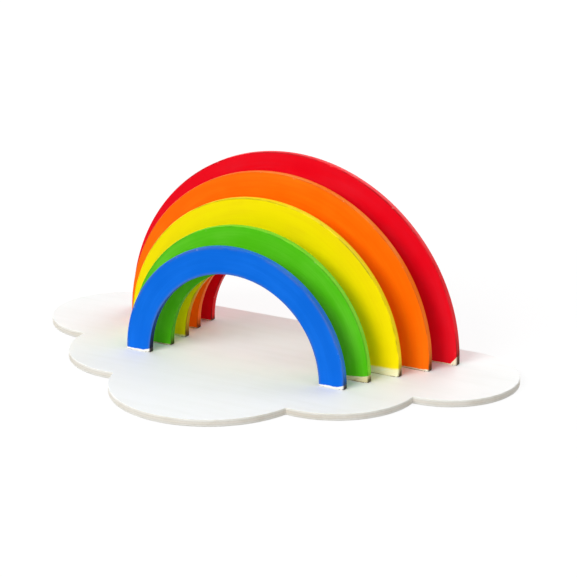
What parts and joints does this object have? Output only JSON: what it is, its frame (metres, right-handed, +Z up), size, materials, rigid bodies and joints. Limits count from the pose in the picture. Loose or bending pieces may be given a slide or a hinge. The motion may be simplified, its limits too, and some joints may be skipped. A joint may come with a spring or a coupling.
{
  "type": "rainbow stacker",
  "caption": "Painted ply rainbow toy: flat arches in rising sizes stand one behind another in slots on a cloud-shaped base, and lift off for stacking.",
  "frame": {"origin": "on the ground under the middle of the base's bounding box", "axes": "+X to the right across the arches, +Y from the front lobe to the straight back edge, +Z up; the blue arch faces -Y"},
  "size_m": [0.248, 0.141, 0.0944],
  "materials": {
    "white_paint": "satin paint on ply",
    "blue_paint": "satin paint on ply",
    "green_paint": "satin paint on ply",
    "yellow_paint": "satin paint on ply",
    "orange_paint": "satin paint on ply",
    "red_paint": "satin paint on ply"
  },
  "bodies": {
    "base": {"cloud_base": "white_paint"},
    "blue": {"blue_arch": "blue_paint"},
    "green": {"green_arch": "green_paint"},
    "yellow": {"yellow_arch": "yellow_paint"},
    "orange": {"orange_arch": "orange_paint"},
    "red": {"red_arch": "red_paint"}
  },
  "joints": [
    {"name": "blue_lift", "type": "slide", "parent": "base", "child": "blue", "axis": [0, 0, 1], "range_m": [0, 0.1]},
    {"name": "green_lift", "type": "slide", "parent": "base", "child": "green", "axis": [0, 0, 1], "range_m": [0, 0.1]},
    {"name": "yellow_lift", "type": "slide", "parent": "base", "child": "yellow", "axis": [0, 0, 1], "range_m": [0, 0.1]},
    {"name": "orange_lift", "type": "slide", "parent": "base", "child": "orange", "axis": [0, 0, 1], "range_m": [0, 0.1]},
    {"name": "red_lift", "type": "slide", "parent": "base", "child": "red", "axis": [0, 0, 1], "range_m": [0, 0.1]}
  ]
}
